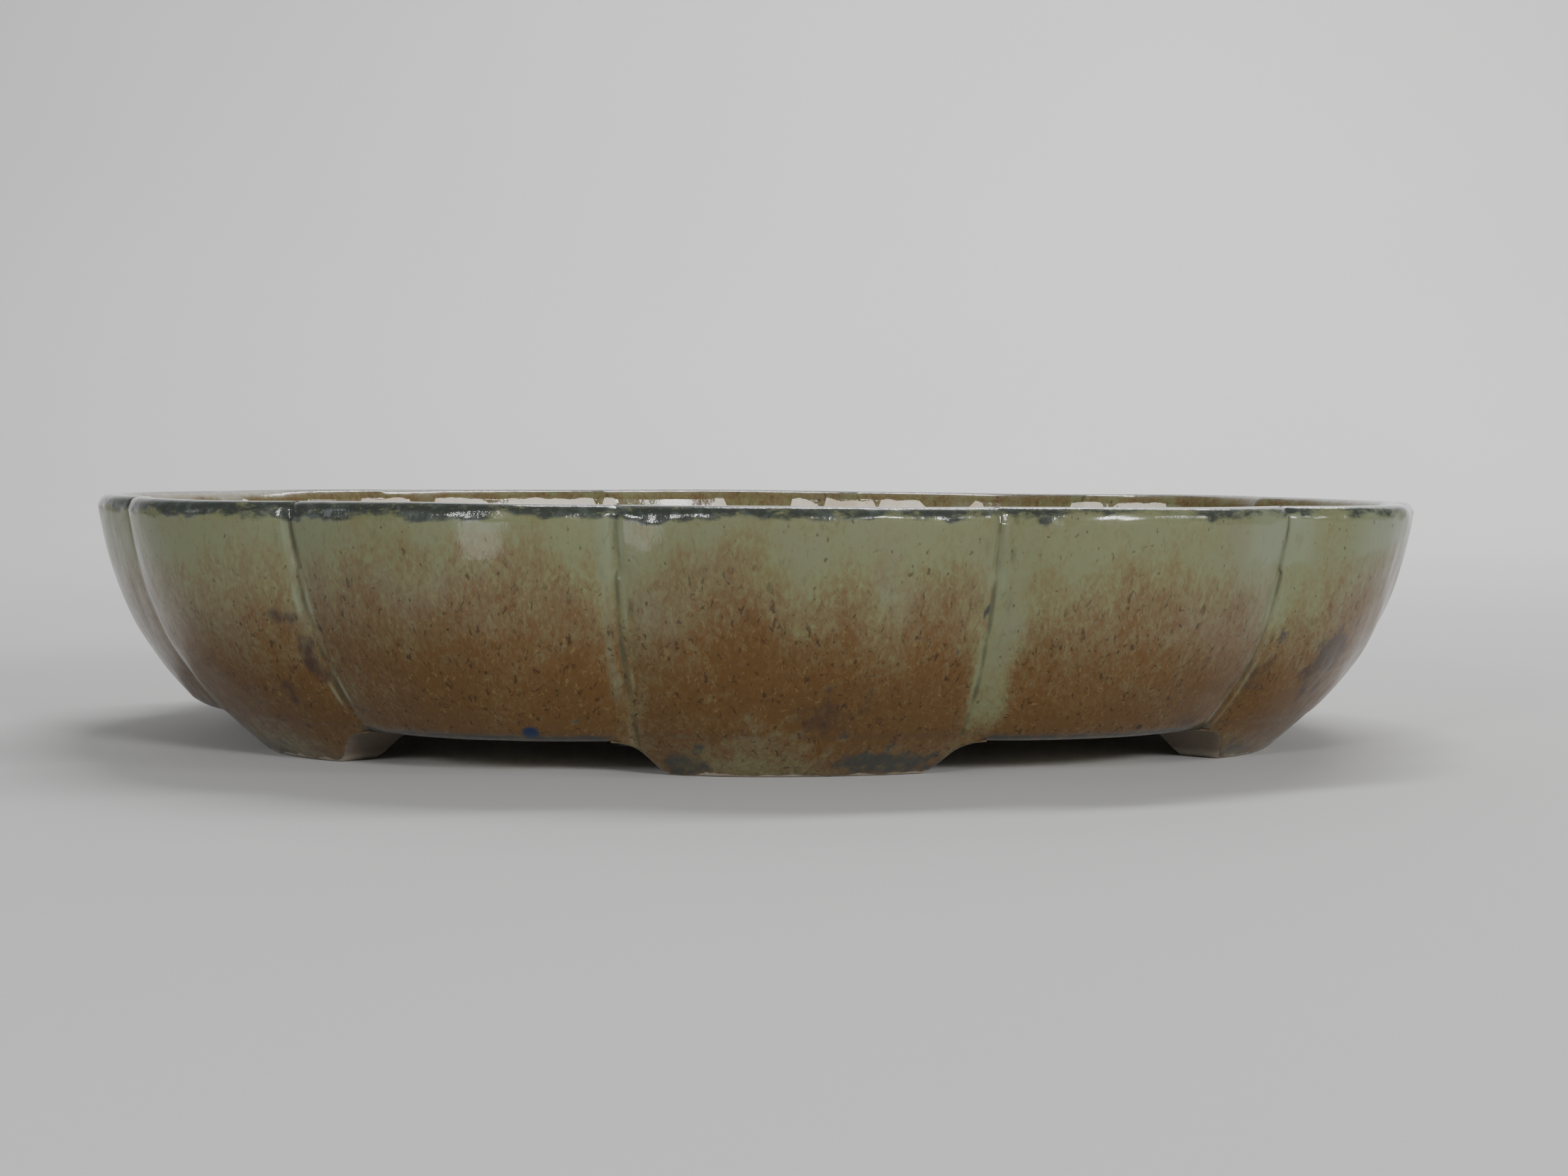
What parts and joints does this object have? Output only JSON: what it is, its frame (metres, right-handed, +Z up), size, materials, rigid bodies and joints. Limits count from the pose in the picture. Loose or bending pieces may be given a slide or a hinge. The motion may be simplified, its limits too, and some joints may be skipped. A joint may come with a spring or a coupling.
{
  "type": "bonsai pot",
  "caption": "Shallow lobed oval bonsai pot of glazed stoneware, standing on low feet, with screened drainage holes.",
  "frame": {"origin": "middle of the surface that the feet stand on, under the middle of the pot", "axes": "+X along the pot's long axis, -Y towards its front, +Z up"},
  "size_m": [0.3792, 0.2974, 0.0675],
  "materials": {
    "glazed_stoneware": "glossy olive green glaze breaking to rust brown",
    "bare_clay": "matt unglazed cream stoneware",
    "mesh_plastic": "matt black moulded mesh",
    "clip_wire": "satin drawn wire"
  },
  "bodies": {
    "root": {"pot_wall": "glazed_stoneware", "floor_slab": "bare_clay", "foot_front": "glazed_stoneware", "foot_back": "glazed_stoneware", "foot_front_left": "glazed_stoneware", "foot_front_right": "glazed_stoneware", "foot_back_left": "glazed_stoneware", "foot_back_right": "glazed_stoneware", "drain_screen_left": "mesh_plastic", "drain_screen_right": "mesh_plastic", "screen_clip_left": "clip_wire", "screen_clip_right": "clip_wire"}
  },
  "joints": []
}
